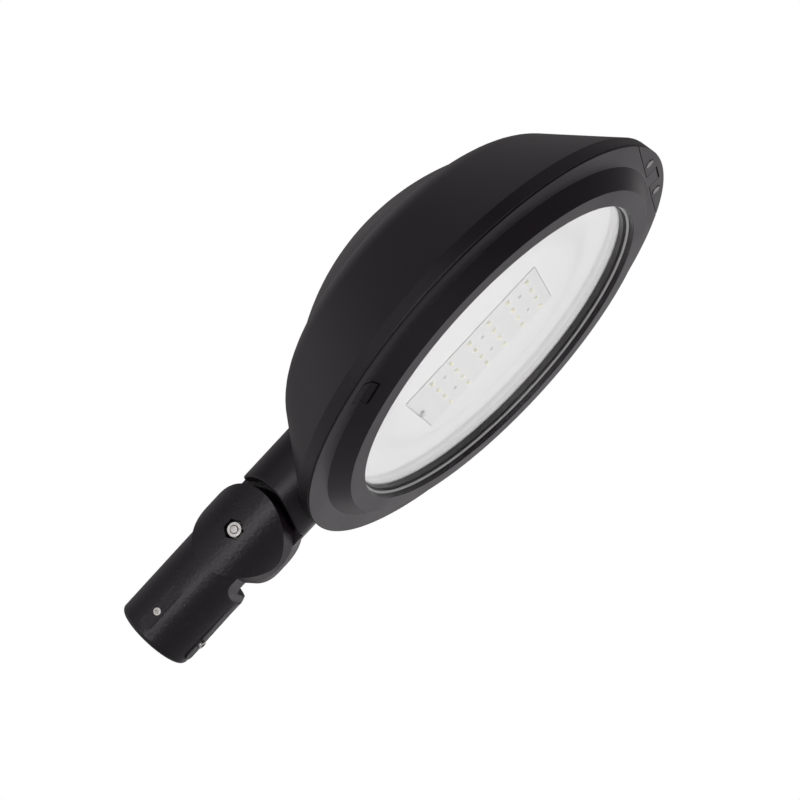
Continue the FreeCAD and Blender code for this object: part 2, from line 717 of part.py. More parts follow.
def cap_sphere(inset):
    """Radius and centre height of the dome, with its skin moved inwards by inset."""
    rim_r = CAP_R - CAP_GAP
    rise = CAP_RISE - CAP_EDGE
    radius = (rim_r ** 2 + rise ** 2) / (2 * rise)
    return radius - inset, CAP_Z + CAP_RISE - radius


def top_cap():
    """Domed cap with a flat flange and four screw bosses."""
    rim_r = CAP_R - CAP_GAP
    foot = SEAT_Z + CAP_SEAL_THICKNESS
    radius, centre_z = cap_sphere(0)
    inner_radius, _ = cap_sphere(CAP_WALL)
    brim = CAP_Z + CAP_EDGE
    flange_top = foot + CAP_FLANGE
    inner_r = math.sqrt(inner_radius ** 2 - (flange_top - centre_z) ** 2)

    def on_arc(r, reach):
        return V(r, 0, centre_z + math.sqrt(reach ** 2 - r ** 2))
    outer_arc = Part.Arc(V(rim_r, 0, brim), on_arc(rim_r / 2, radius), on_arc(0, radius)).toShape()
    inner_arc = Part.Arc(on_arc(0, inner_radius), on_arc(inner_r / 2, inner_radius),
                         V(inner_r, 0, flange_top)).toShape()
    flange_r = CAP_OPENING_R + SCREW_CLEARANCE
    run = [V(inner_r, 0, flange_top), V(flange_r, 0, flange_top), V(flange_r, 0, foot),
           V(rim_r, 0, foot), V(rim_r, 0, brim)]
    edges = [Part.makeLine(run[i], run[i + 1]) for i in range(len(run) - 1)]
    axis_edge = Part.makeLine(on_arc(0, radius), on_arc(0, inner_radius))
    face = Part.Face(Part.Wire(Part.sortEdges(edges + [outer_arc, axis_edge, inner_arc])[0]))
    shell = face.revolve(CENTRE, AXIS_Z, 360)
    skin = Part.makeSphere(radius - CAP_WALL / 2, V(0, 0, centre_z))
    boss = post(CAP_BOSS_R, foot, foot + CAP_BOSS_HEIGHT, CAP_SCREW_CIRCLE_R).common(skin)
    hole = post(M4_R + THREAD_FIT, foot - 1, foot + CAP_BOSS_HEIGHT - 1, CAP_SCREW_CIRCLE_R)
    for copy in around(boss, BOSS_COUNT):
        shell = shell.fuse(copy)
    for copy in around(hole, BOSS_COUNT):
        shell = shell.cut(copy)
    return to_head(shell.removeSplitter())


def cap_seal():
    """Flat ring under the cap."""
    outer = CAP_R - CAP_SEAL_INSET
    return to_head(ring(outer - CAP_SEAL_WIDTH, outer, SEAT_Z, SEAT_Z + CAP_SEAL_THICKNESS))


def cap_screws():
    """Screws that hold the cap from inside the bell."""
    one = screw(CAP_SCREW_CIRCLE_R, 0, SEAT_Z - WALL, 1, M4_R, M4_HEAD_R, M4_HEAD_HEIGHT,
                WALL + CAP_SEAL_THICKNESS + SCREW_GRIP)
    return to_head(Part.makeCompound(around(one, BOSS_COUNT)))


def frame_outline():
    """Underside of the frame, from the window's edge out to the rim."""
    bead_r = COLLAR_INNER_R - BEAD_WIDTH
    bead_z = COLLAR_LEDGE_Z - BEAD_HEIGHT
    return [(bead_r, COLLAR_LEDGE_Z), (bead_r, bead_z), (COLLAR_INNER_R, bead_z - BEAD_FALL),
            (COLLAR_INNER_R, 0, CREASE_ROUND / 2), (COLLAR_OUTER_R, 0, CREASE_ROUND / 2),
            (SLOPE_OUTER_R, FLANGE_Z, CREASE_ROUND)] + rim_outline()


def rim_outline():
    """Edge of the flange: a thin rim, stepped in above it to pass behind the bell's lip."""
    step_r = LIP_INNER_R - STEP_GAP
    return [(RIM_R - RIM_EDGE, FLANGE_Z), (RIM_R, FLANGE_Z + RIM_EDGE), (RIM_R, RIM_TOP), (step_r, RIM_TOP),
            (step_r, FRAME_TOP)]


def slope_at(z, across):
    """Radius of the sloping wall at a height, moved inwards by across."""
    return in_line(z, across, (COLLAR_OUTER_R, 0), (SLOPE_OUTER_R, FLANGE_Z))


def glass_frame():
    """Pressed ring with a collar, a sloping wall and a flat flange."""
    upstand_outer = UPSTAND_INNER_R + UPSTAND_WALL
    inside = [(slope_at(FRAME_TOP, FRAME_WALL), FRAME_TOP), (slope_at(FRAME_WALL, FRAME_WALL), FRAME_WALL),
              (upstand_outer, FRAME_WALL), (upstand_outer, UPSTAND_Z), (UPSTAND_INNER_R, UPSTAND_Z),
              (UPSTAND_INNER_R, COLLAR_LEDGE_Z)]
    body = turned(frame_outline() + inside)
    boss_z = (CLIP_SCREW_R + CLIP_BOSS_R - COLLAR_OUTER_R) * FLANGE_Z / (SLOPE_OUTER_R - COLLAR_OUTER_R)
    boss = post(CLIP_BOSS_R, boss_z + FRAME_WALL / 2, FRAME_TOP, CLIP_SCREW_R)
    hole = post(M3_R + THREAD_FIT, boss_z + FRAME_WALL, FRAME_TOP + 1, CLIP_SCREW_R)
    for copy in around(boss, CLIP_COUNT, 180.0 / CLIP_COUNT):
        body = body.fuse(copy)
    for copy in around(hole, CLIP_COUNT, 180.0 / CLIP_COUNT):
        body = body.cut(copy)
    half = HOOK_WIDTH / 2 + WINDOW_GAP
    for side in (-1, 1):
        window = block(WINDOW_INNER_R, WINDOW_OUTER_R, -half, half, -1, FRAME_TOP + 1)
        window.rotate(CENTRE, AXIS_Z, side * HOOK_ANGLE)
        body = body.cut(window)
    beyond = block(LATCH_CHORD_X, RIM_R + 1, -RIM_R, RIM_R, -1, FRAME_TOP + 1)
    tab = block(LATCH_CHORD_X - 1, LATCH_CHORD_X + TAB_LENGTH, -TAB_WIDTH / 2, TAB_WIDTH / 2,
                -1, FRAME_TOP + 1)
    return to_head(body.cut(beyond.cut(tab)).removeSplitter())


def latch_plate():
    """Rim segment at the tip, notched for the frame's tab and screwed to the bell."""
    disc = turned([(0, FLANGE_Z)] + rim_outline() + [(0, FRAME_TOP)])
    chord = LATCH_CHORD_X + LATCH_GAP
    keep = block(chord, RIM_R + 1, -RIM_R, RIM_R, 0, FRAME_TOP + 1)
    notch = block(chord - 1, LATCH_CHORD_X + TAB_LENGTH + TAB_END_GAP,
                  -TAB_WIDTH / 2 - LATCH_GAP, TAB_WIDTH / 2 + LATCH_GAP, 0, FRAME_TOP + 1)
    plate = disc.common(keep).cut(notch)
    for side in (-1, 1):
        y = side * LATCH_SCREW_Y
        recess = post(LATCH_RECESS_R, FLANGE_Z - 1, FLANGE_Z + LATCH_RECESS_DEPTH, LATCH_SCREW_X, y)
        hole = post(LATCH_SCREW_R + SCREW_CLEARANCE, FLANGE_Z - 1, FRAME_TOP + 1, LATCH_SCREW_X, y)
        plate = plate.cut(recess).cut(hole)
    return to_head(plate)


def latch_screws():
    """Two pan-head screws up into the bell's bosses."""
    seat = FLANGE_Z + LATCH_RECESS_DEPTH
    screws = [screw(LATCH_SCREW_X, side * LATCH_SCREW_Y, seat, 1, LATCH_SCREW_R, LATCH_HEAD_R,
                    LATCH_HEAD_HEIGHT, LATCH_BOSS_TOP - 2 * WALL - seat) for side in (-1, 1)]
    return to_head(Part.makeCompound(screws))


def side_hooks():
    """Spring hooks that fill the frame's windows and hold over the bell's ledge."""
    upstand_outer = UPSTAND_INNER_R + UPSTAND_WALL
    heel = upstand_outer + 2 * EDGE_GAP
    heel_end = slope_at(FRAME_WALL, FRAME_WALL) - 2 * EDGE_GAP
    rest_z = (FRAME_WALL + (WINDOW_INNER_R - slope_at(FRAME_WALL, FRAME_WALL)) * FLANGE_Z
              / (SLOPE_OUTER_R - COLLAR_OUTER_R) + EDGE_GAP)
    start_r = WINDOW_INNER_R + 2 * WINDOW_GAP
    start_z = (start_r - COLLAR_OUTER_R) * FLANGE_Z / (SLOPE_OUTER_R - COLLAR_OUTER_R)
    leg_r = RIM_R - RIM_LEDGE - 2 * WINDOW_GAP
    leg_in = leg_r - HOOK_THICKNESS
    top = LEDGE_TOP + HOOK_THICKNESS
    end_r = WINDOW_OUTER_R - WINDOW_GAP
    points = [(heel, FRAME_WALL), (heel_end, FRAME_WALL), (heel_end, rest_z),
              (WINDOW_INNER_R + EDGE_GAP, rest_z), (start_r, start_z), (SLOPE_OUTER_R, FLANGE_Z),
              (end_r, FLANGE_Z), (end_r, FLANGE_Z + HOOK_THICKNESS),
              (leg_r, FLANGE_Z + HOOK_THICKNESS), (leg_r, LEDGE_TOP), (leg_r + HOOK_HOLD, LEDGE_TOP),
              (leg_r + HOOK_HOLD, top), (leg_in, top), (leg_in, FRAME_TOP),
              (slope_at(FLANGE_Z + HOOK_THICKNESS, HOOK_THICKNESS), FLANGE_Z + HOOK_THICKNESS),
              (slope_at(rest_z + HOOK_THICKNESS, HOOK_THICKNESS), rest_z + HOOK_THICKNESS),
              (heel, rest_z + HOOK_THICKNESS)]
    hooks = []
    for side in (-1, 1):
        hook = strip(points, HOOK_WIDTH)
        hook.translate(V(0, side * HOOK_SHIFT, 0))
        hook.rotate(CENTRE, AXIS_Z, side * HOOK_ANGLE)
        hooks.append(hook)
    return to_head(Part.makeCompound(hooks))


def body_seal():
    """Seal between the frame and the bell's groove."""
    middle = LIP_INNER_R - GROOVE_WIDTH / 2
    half = SEAL_WIDTH / 2
    return to_head(ring(middle - half, middle + half, FRAME_TOP, HOUSING_Z + GROOVE_DEPTH))


def glass_pane():
    """Flat toughened disc."""
    return to_head(post(GLASS_R, GLASS_Z, GLASS_TOP))


def glass_gasket():
    """Channel seal around the glass edge, a little of it showing inside the collar."""
    inner = COLLAR_INNER_R - BEAD_WIDTH - GASKET_SHOWN
    lip = GLASS_R - GASKET_LIP_OVERLAP
    groove_r = GLASS_R + EDGE_GAP
    points = [(inner, COLLAR_LEDGE_Z, EDGE_GAP), (GASKET_OUTER_R, COLLAR_LEDGE_Z),
              (GASKET_OUTER_R, GASKET_TOP, EDGE_GAP), (lip, GASKET_TOP, EDGE_GAP), (lip, GLASS_TOP),
              (groove_r, GLASS_TOP), (groove_r, GLASS_Z), (inner, GLASS_Z)]
    return to_head(turned(points))


def glass_clips():
    """Bent clips that press the glass seal onto the collar's ledge."""
    bend = CLIP_SCREW_R - CLIP_BOSS_R - EDGE_GAP
    rise = GASKET_OUTER_R + CLIP_THICKNESS
    tip = GLASS_R - CLIP_REACH
    end = CLIP_SCREW_R + CLIP_FOOT
    points = [(end, FRAME_TOP), (bend, FRAME_TOP), (rise, GASKET_TOP), (tip, GASKET_TOP),
              (tip, GASKET_TOP + CLIP_THICKNESS), (rise + CLIP_THICKNESS, GASKET_TOP + CLIP_THICKNESS),
              (bend + CLIP_THICKNESS, FRAME_TOP + CLIP_THICKNESS), (end, FRAME_TOP + CLIP_THICKNESS)]
    hole = post(M3_R + SCREW_CLEARANCE, FRAME_TOP - 1, GASKET_TOP, CLIP_SCREW_R)
    clip = strip(points, CLIP_WIDTH).cut(hole)
    return to_head(Part.makeCompound(around(clip, CLIP_COUNT, 180.0 / CLIP_COUNT)))


def clip_screws():
    """Screws of the glass clips."""
    one = screw(CLIP_SCREW_R, 0, FRAME_TOP + CLIP_THICKNESS, -1, M3_R, M3_HEAD_R, M3_HEAD_HEIGHT,
                CLIP_THICKNESS + CLIP_BOSS_R)
    return to_head(Part.makeCompound(around(one, CLIP_COUNT, 180.0 / CLIP_COUNT)))


def mounting_plate():
    """Round plate that carries the light engine below and the control gear above."""
    plate = post(PLATE_R, PLATE_Z, PLATE_TOP)
    plate = plate.cut(post(PLATE_HOLE_R, PLATE_Z - 1, PLATE_TOP + 1, PLATE_HOLE_X))
    hole = post(M5_R + SCREW_CLEARANCE, PLATE_Z - 1, PLATE_TOP + 1, BOSS_CIRCLE_R)
    for copy in around(hole, BOSS_COUNT, 180.0 / BOSS_COUNT):
        plate = plate.cut(copy)
    return to_head(plate)


def plate_screws():
    """Screws up into the bell's bosses."""
    one = screw(BOSS_CIRCLE_R, 0, PLATE_Z, 1, M5_R, M5_HEAD_R, M5_HEAD_HEIGHT, PLATE_THICKNESS + SCREW_GRIP)
    return to_head(Part.makeCompound(around(one, BOSS_COUNT, 180.0 / BOSS_COUNT)))


def board_box(inset, z0, z1, radius=0.0):
    """A slab on the board's plan, smaller by inset on each side."""
    corners = (BOARD_X_MIN + inset, BOARD_X_MAX - inset, -BOARD_WIDTH / 2 + inset, BOARD_WIDTH / 2 - inset)
    if radius > 0:
        return rounded_block(*corners, z0, z1, radius)
    return block(*corners, z0, z1)


def screw_places():
    """Positions of the board's screws between the rows of LEDs."""
    reach = BOARD_WIDTH / 2 - BOARD_SCREW_INSET
    return [(2 * column * LED_PITCH_X, side * reach) for column in (-1, 0, 1) for side in (-1, 1)]


def heat_spreader():
    """Block that takes the board's heat into the plate, with a shoulder behind the tray."""
    border = BOARD_GAP + SPREADER_OVERLAP
    body = board_box(0, BOARD_TOP, TRAY_BACK_Z).fuse(board_box(-border, TRAY_BACK_Z, PLATE_Z))
    for x, y in screw_places():
        body = body.cut(post(M2_R + THREAD_FIT, BOARD_TOP - 1, BOARD_TOP + SCREW_GRIP, x, y))
    return to_head(body.removeSplitter())


def reflector_tray():
    """White spun tray: flat centre cut out for the board, shallow cone and a wall down to the glass."""
    rim_z = GLASS_TOP + TRAY_RIM_GAP
    low = [(TRAY_PLATFORM_R, TRAY_Z), (TRAY_DEEP_R, TRAY_Z + TRAY_RISE), (TRAY_RIM_R, rim_z)]
    cone_in = meeting(-TRAY_WALL, low[2], low[1], low[0])
    flat_r = in_line(TRAY_BACK_Z, -TRAY_WALL, low[1], low[0])
    rim_out = in_line(rim_z, -TRAY_WALL, low[2], low[1])
    points = [(0, TRAY_Z), (*low[0], TRAY_EASE), (*low[1], TRAY_CORNER), low[2], (rim_out, rim_z),
              (*cone_in, TRAY_CORNER + TRAY_WALL), (flat_r, TRAY_BACK_Z, TRAY_EASE - TRAY_WALL),
              (0, TRAY_BACK_Z)]
    hole = board_box(-BOARD_GAP, TRAY_Z - 1, TRAY_BACK_Z + 1, BOARD_CORNER)
    return to_head(turned(points).cut(hole))


def led_board():
    """Metal-core circuit board."""
    board = board_box(0, BOARD_Z, BOARD_TOP, BOARD_CORNER)
    for x, y in screw_places():
        board = board.cut(post(M2_R + SCREW_CLEARANCE, BOARD_Z - 1, BOARD_TOP + 1, x, y))
    return to_head(board)


def led_packages():
    """LEDs in rows, each a square base with a round lens."""
    leds = []
    for row in range(LED_ROWS):
        for place in range(LEDS_PER_ROW):
            x = (row - (LED_ROWS - 1) / 2) * LED_PITCH_X
            y = (place - (LEDS_PER_ROW - 1) / 2) * LED_PITCH_Y
            base = block(x - LED_SIZE / 2, x + LED_SIZE / 2, y - LED_SIZE / 2, y + LED_SIZE / 2,
                         BOARD_Z - LED_BASE, BOARD_Z)
            dome = Part.makeSphere(LED_DOME_R, V(x, y, BOARD_Z - LED_BASE), AXIS_Z, -90, 0, 360)
            leds.append(base.fuse(dome).removeSplitter())
    return to_head(Part.makeCompound(leds))


def board_screws():
    """Screws that clamp the board and the tray to the spreader."""
    length = BOARD_THICKNESS + SCREW_GRIP - M2_R
    screws = [screw(x, y, BOARD_Z, 1, M2_R, M2_HEAD_R, M2_HEAD_HEIGHT, length) for x, y in screw_places()]
    return to_head(Part.makeCompound(screws))


def board_connector():
    """Plug-in connector at the board's pole-side edge."""
    x0 = BOARD_X_MIN + CONNECTOR_INSET
    return to_head(block(x0, x0 + CONNECTOR_LENGTH, -CONNECTOR_WIDTH / 2, CONNECTOR_WIDTH / 2,
                         BOARD_Z - CONNECTOR_HEIGHT, BOARD_Z))


def led_driver():
    """Driver in a potted case with a screw flange at each end."""
    x0 = DRIVER_X - DRIVER_LENGTH / 2
    x1 = DRIVER_X + DRIVER_LENGTH / 2
    y0 = DRIVER_Y - DRIVER_WIDTH / 2
    y1 = DRIVER_Y + DRIVER_WIDTH / 2
    case = rounded_block(x0, x1, y0, y1, PLATE_TOP, PLATE_TOP + DRIVER_HEIGHT, CASE_ROUND)
    flange = block(x0 - DRIVER_FLANGE, x1 + DRIVER_FLANGE, y0 + CASE_ROUND, y1 - CASE_ROUND,
                   PLATE_TOP, PLATE_TOP + DRIVER_FLANGE_THICKNESS)
    body = case.fuse(flange)
    for x in (x0 - DRIVER_FLANGE / 2, x1 + DRIVER_FLANGE / 2):
        body = body.cut(post(M4_R + SCREW_CLEARANCE, PLATE_TOP - 1, PLATE_TOP + DRIVER_HEIGHT, x, DRIVER_Y))
    return to_head(body.removeSplitter())


def driver_screws():
    """Screws through the driver's flanges, ending on the plate."""
    screws = []
    for side in (-1, 1):
        x = DRIVER_X + side * (DRIVER_LENGTH + DRIVER_FLANGE) / 2
        screws.append(screw(x, DRIVER_Y, PLATE_TOP + DRIVER_FLANGE_THICKNESS, -1, M4_R, M4_HEAD_R,
                            M4_HEAD_HEIGHT, DRIVER_FLANGE_THICKNESS))
    return to_head(Part.makeCompound(screws))


def surge_protector():
    """Surge protector in a small moulded case."""
    return to_head(rounded_block(SURGE_X - SURGE_LENGTH / 2, SURGE_X + SURGE_LENGTH / 2,
                                 SURGE_Y - SURGE_WIDTH / 2, SURGE_Y + SURGE_WIDTH / 2,
                                 PLATE_TOP, PLATE_TOP + SURGE_HEIGHT, CASE_ROUND))


def terminal_block():
    """Three-way mains terminal block with screw wells."""
    x0 = TERMINAL_X - TERMINAL_LENGTH / 2
    y0 = TERMINAL_Y - TERMINAL_WIDTH / 2
    body = block(x0, x0 + TERMINAL_LENGTH, y0, y0 + TERMINAL_WIDTH, PLATE_TOP, PLATE_TOP + TERMINAL_HEIGHT)
    pitch = TERMINAL_WIDTH / TERMINAL_WAYS
    for way in range(TERMINAL_WAYS):
        y = y0 + pitch * (way + 0.5)
        body = body.cut(post(M4_R, PLATE_TOP + TERMINAL_HEIGHT / 2, PLATE_TOP + TERMINAL_HEIGHT + 1,
                             TERMINAL_X, y))
    return to_head(body)


def cord_clamp():
    """Saddle that grips the supply cable behind the neck."""
    body = block(CLAMP_X - CLAMP_LENGTH / 2, CLAMP_X + CLAMP_LENGTH / 2, -CLAMP_WIDTH / 2, CLAMP_WIDTH / 2,
                 PLATE_TOP, PLATE_TOP + CLAMP_HEIGHT)
    hole = Part.makeCylinder(CLAMP_CABLE_R, CLAMP_LENGTH + 2,
                             V(CLAMP_X - CLAMP_LENGTH / 2 - 1, 0, PLATE_TOP + CLAMP_HEIGHT / 2), AXIS_X)
    body = body.cut(hole)
    for y in clamp_screw_places():
        body = body.cut(post(M4_R + THREAD_FIT, PLATE_TOP - 1, PLATE_TOP + CLAMP_HEIGHT + 1, CLAMP_X, y))
    return to_head(body)


def clamp_screw_places():
    """The two sides of the cord clamp's screws."""
    reach = CLAMP_WIDTH / 2 - M4_HEAD_R - 1
    return -reach, reach


def clamp_screws():
    """Screws through the cord clamp down to the plate."""
    screws = [screw(CLAMP_X, y, PLATE_TOP + CLAMP_HEIGHT, -1, M4_R, M4_HEAD_R, M4_HEAD_HEIGHT, CLAMP_HEIGHT)
              for y in clamp_screw_places()]
    return to_head(Part.makeCompound(screws))


def lead(points):
    """Round cable along straight runs and tangent arcs."""
    path = Part.Wire(rounded_edges([(point, LEAD_BEND) for point in points], False))
    start = points[0]
    towards = (points[1] - points[0]).normalize()
    circle = Part.Wire(Part.makeCircle(LEAD_R, start, towards))
    return path.makePipeShell([circle], True, False)


def supply_lead():
    """Cable from the terminal block to the driver."""
    z = PLATE_TOP + TERMINAL_HEIGHT / 4
    driver_end = DRIVER_X - DRIVER_LENGTH / 2
    x = TERMINAL_X + TERMINAL_LENGTH / 2
    turn_x = (x + driver_end) / 2
    y = TERMINAL_Y - TERMINAL_WIDTH / 4
    high = PLATE_TOP + DRIVER_HEIGHT / 2
    points = [V(x, y, z), V(turn_x, y, z), V(turn_x, DRIVER_Y, high), V(driver_end, DRIVER_Y, high)]
    return to_head(lead(points))


NODES = {
    "spigot_casting": spigot_casting,
    "pivot_bolt": pivot_bolt,
    "pivot_nut": pivot_nut,
    "pivot_washers": pivot_washers,
    "side_grub_screw": side_grub_screw,
    "lower_grub_screw": lower_grub_screw,
    "upper_housing": upper_housing,
    "top_cap": top_cap,
    "cap_seal": cap_seal,
    "cap_screws": cap_screws,
    "glass_frame": glass_frame,
    "latch_plate": latch_plate,
    "latch_screws": latch_screws,
    "side_hooks": side_hooks,
    "body_seal": body_seal,
    "glass_pane": glass_pane,
    "glass_gasket": glass_gasket,
    "glass_clips": glass_clips,
    "clip_screws": clip_screws,
    "mounting_plate": mounting_plate,
    "plate_screws": plate_screws,
    "heat_spreader": heat_spreader,
    "reflector_tray": reflector_tray,
    "led_board": led_board,
    "led_packages": led_packages,
    "board_screws": board_screws,
    "board_connector": board_connector,
    "led_driver": led_driver,
    "driver_screws": driver_screws,
    "surge_protector": surge_protector,
    "terminal_block": terminal_block,
    "supply_lead": supply_lead,
    "cord_clamp": cord_clamp,
    "clamp_screws": clamp_screws,
}


os.makedirs("parts", exist_ok=True)
for name, make in NODES.items():
    shape = make()
    if not shape.isValid():
        raise ValueError(name + " isn't a valid solid")
    shape.exportStep("parts/" + name + ".step")
    solids = len(shape.Solids)
    print(name, "solids", solids, "volume", round(shape.Volume / 1000, 2), "cm3")
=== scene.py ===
"""Looks of a round street light head: a charcoal die-cast bell on a knuckled pole socket, lit
softly above a pale floor. Metres throughout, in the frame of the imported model: +X runs from the
pole socket to the head's tip and +Z is up.
"""
import math

import bmesh
import bpy
import numpy as np
from mathutils import Matrix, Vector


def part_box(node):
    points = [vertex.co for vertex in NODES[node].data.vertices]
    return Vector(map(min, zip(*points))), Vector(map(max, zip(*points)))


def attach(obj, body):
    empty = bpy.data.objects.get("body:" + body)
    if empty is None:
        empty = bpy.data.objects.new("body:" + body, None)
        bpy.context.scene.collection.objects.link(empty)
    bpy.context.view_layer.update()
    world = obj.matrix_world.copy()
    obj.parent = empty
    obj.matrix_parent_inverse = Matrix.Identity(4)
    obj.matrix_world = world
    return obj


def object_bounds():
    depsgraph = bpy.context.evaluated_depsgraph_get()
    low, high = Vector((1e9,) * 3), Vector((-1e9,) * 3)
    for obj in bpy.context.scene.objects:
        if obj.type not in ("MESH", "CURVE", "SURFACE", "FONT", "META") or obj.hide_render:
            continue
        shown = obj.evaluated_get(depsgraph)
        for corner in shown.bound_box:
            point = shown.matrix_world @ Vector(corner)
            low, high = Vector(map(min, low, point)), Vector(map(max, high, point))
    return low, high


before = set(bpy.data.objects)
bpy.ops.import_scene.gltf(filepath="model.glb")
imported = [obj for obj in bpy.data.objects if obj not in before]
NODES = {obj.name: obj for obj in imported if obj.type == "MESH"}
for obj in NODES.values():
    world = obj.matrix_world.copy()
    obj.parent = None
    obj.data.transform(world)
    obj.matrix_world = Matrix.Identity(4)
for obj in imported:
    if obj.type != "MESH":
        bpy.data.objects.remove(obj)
CAD_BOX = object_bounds()

MM = 0.001

# Reference places, read from the frame
GLASS_LOW, GLASS_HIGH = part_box("glass_pane")
HEAD_X = (GLASS_LOW.x + GLASS_HIGH.x) / 2
HEAD_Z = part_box("glass_frame")[0].z
LED_LOW, LED_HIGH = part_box("led_packages")
BOARD_LOW, BOARD_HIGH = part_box("led_board")


# Node helpers

def new_material(name):
    """An empty node material; returns it with its node tree."""
    material = bpy.data.materials.new(name)
    material.use_nodes = True
    tree = material.node_tree
    tree.nodes.clear()
    return material, tree


def shader(tree, colour, roughness, metallic=0.0, specular=0.5):
    """A Principled shader joined to an output, with its plain sockets set."""
    output = tree.nodes.new("ShaderNodeOutputMaterial")
    node = tree.nodes.new("ShaderNodeBsdfPrincipled")
    node.inputs["Base Color"].default_value = (*colour, 1.0)
    node.inputs["Roughness"].default_value = roughness
    node.inputs["Metallic"].default_value = metallic
    node.inputs["Specular IOR Level"].default_value = specular
    tree.links.new(node.outputs["BSDF"], output.inputs["Surface"])
    return node


def noise(tree, scale, detail=3.0):
    """Noise over the object's own coordinates, with scale in cells per metre."""
    coordinates = tree.nodes.new("ShaderNodeTexCoord")
    texture = tree.nodes.new("ShaderNodeTexNoise")
    texture.inputs["Scale"].default_value = scale
    texture.inputs["Detail"].default_value = detail
    tree.links.new(coordinates.outputs["Object"], texture.inputs["Vector"])
    return texture.outputs["Fac"]


def object_axis(tree, axis):
    """One of the object's own coordinates, in metres."""
    coordinates = tree.nodes.new("ShaderNodeTexCoord")
    parts = tree.nodes.new("ShaderNodeSeparateXYZ")
    tree.links.new(coordinates.outputs["Object"], parts.inputs["Vector"])
    return parts.outputs[axis]


def along(tree, coordinate, direction):
    """How far a kind of texture coordinate reaches along a direction."""
    coordinates = tree.nodes.new("ShaderNodeTexCoord")
    reach = tree.nodes.new("ShaderNodeVectorMath")
    reach.operation = "DOT_PRODUCT"
    reach.inputs[1].default_value = direction
    tree.links.new(coordinates.outputs[coordinate], reach.inputs[0])
    return reach.outputs["Value"]


def remap(tree, value, start, end, low, high, interpolation="LINEAR"):
    """Maps the range from start to end to the range from low to high, held at both ends."""
    node = tree.nodes.new("ShaderNodeMapRange")
    node.interpolation_type = interpolation
    node.inputs["From Min"].default_value = start
    node.inputs["From Max"].default_value = end
    node.inputs["To Min"].default_value = low
    node.inputs["To Max"].default_value = high
    tree.links.new(value, node.inputs["Value"])
    return node.outputs["Result"]


NOISE_LOW = 0.3
NOISE_HIGH = 0.7


def spread(tree, factor, low, high):
    """Stretches a noise over the range from low to high."""
    return remap(tree, factor, NOISE_LOW, NOISE_HIGH, low, high)


def combine(tree, operation, first, second):
    """Two values joined by a maths operation; the second may be a plain number."""
    node = tree.nodes.new("ShaderNodeMath")
    node.operation = operation
    tree.links.new(first, node.inputs[0])
    if isinstance(second, float):
        node.inputs[1].default_value = second
    else:
        tree.links.new(second, node.inputs[1])
    return node.outputs["Value"]


def blend_colours(tree, factor, first, second):
    """Two colours mixed by a factor; each is a plain colour or the output of a node."""
    node = tree.nodes.new("ShaderNodeMix")
    node.data_type = "RGBA"
    for socket, colour in (("A", first), ("B", second)):
        if isinstance(colour, tuple):
            node.inputs[socket].default_value = (*colour, 1.0)
        else:
            tree.links.new(colour, node.inputs[socket])
    tree.links.new(factor, node.inputs["Factor"])
    return node.outputs["Result"]


def mix_shaders(tree, factor, first, second):
    """Two shaders mixed by a factor."""
    node = tree.nodes.new("ShaderNodeMixShader")
    tree.links.new(factor, node.inputs["Fac"])
    tree.links.new(first, node.inputs[1])
    tree.links.new(second, node.inputs[2])
    return node.outputs["Shader"]


def bump(tree, node, height, strength, distance):
    """Fine relief on a shader, distance in metres for a height of one."""
    relief = tree.nodes.new("ShaderNodeBump")
    relief.inputs["Strength"].default_value = strength
    relief.inputs["Distance"].default_value = distance
    tree.links.new(height, relief.inputs["Height"])
    tree.links.new(relief.outputs["Normal"], node.inputs["Normal"])


# Materials

COAT_CLOUD = 14.0
COAT_LIGHTER = 1.25
COAT_GLOSS_SPREAD = (-0.03, 0.04)
COAT_RELIEF = 0.6
DENT_SHARE = 0.3
DENT_FADE = 0.03
METAL_DARKER = 0.8
METAL_GLOSS_SPREAD = (-0.06, 0.08)


def coated(name, colour, roughness, specular, grain_mm, relief_mm, dent=0.0, dent_end=None):
    """Powder coat: near-even colour, a slightly uneven gloss and a fine orange-peel grain. Larger
    dents lie over the grain, dent times as high, and fade out before dent_end along X."""
    material, tree = new_material(name)
    node = shader(tree, colour, roughness, specular=specular)
    cloud = noise(tree, COAT_CLOUD)
    lighter = tuple(COAT_LIGHTER * c for c in colour)
    mottled = blend_colours(tree, spread(tree, cloud, 0.0, 1.0), colour, lighter)
    tree.links.new(mottled, node.inputs["Base Color"])
    low, high = (roughness + change for change in COAT_GLOSS_SPREAD)
    tree.links.new(spread(tree, cloud, low, high), node.inputs["Roughness"])
    cells = 1.0 / (grain_mm * MM)
    fine = noise(tree, cells)
    dents = noise(tree, DENT_SHARE * cells, detail=1.0)
    height = tree.nodes.new("ShaderNodeMath")
    height.operation = "MULTIPLY_ADD"
    height.inputs[1].default_value = dent
    if dent_end is not None:
        fade = remap(tree, object_axis(tree, "X"), dent_end - DENT_FADE, dent_end, dent, 0.0)
        tree.links.new(fade, height.inputs[1])
    tree.links.new(dents, height.inputs[0])
    tree.links.new(fine, height.inputs[2])
    bump(tree, node, height.outputs["Value"], COAT_RELIEF, relief_mm * MM)
    return material


def metal(name, colour, roughness, grain=180.0):
    """Bare metal with a fine uneven finish."""
    material, tree = new_material(name)
    node = shader(tree, colour, roughness, metallic=1.0)
    wear = noise(tree, grain)
    darker = tuple(METAL_DARKER * c for c in colour)
    worn = blend_colours(tree, spread(tree, wear, 0.0, 1.0), darker, colour)
    tree.links.new(worn, node.inputs["Base Color"])
    low, high = (roughness + change for change in METAL_GLOSS_SPREAD)
    tree.links.new(spread(tree, wear, low, high), node.inputs["Roughness"])
    return material


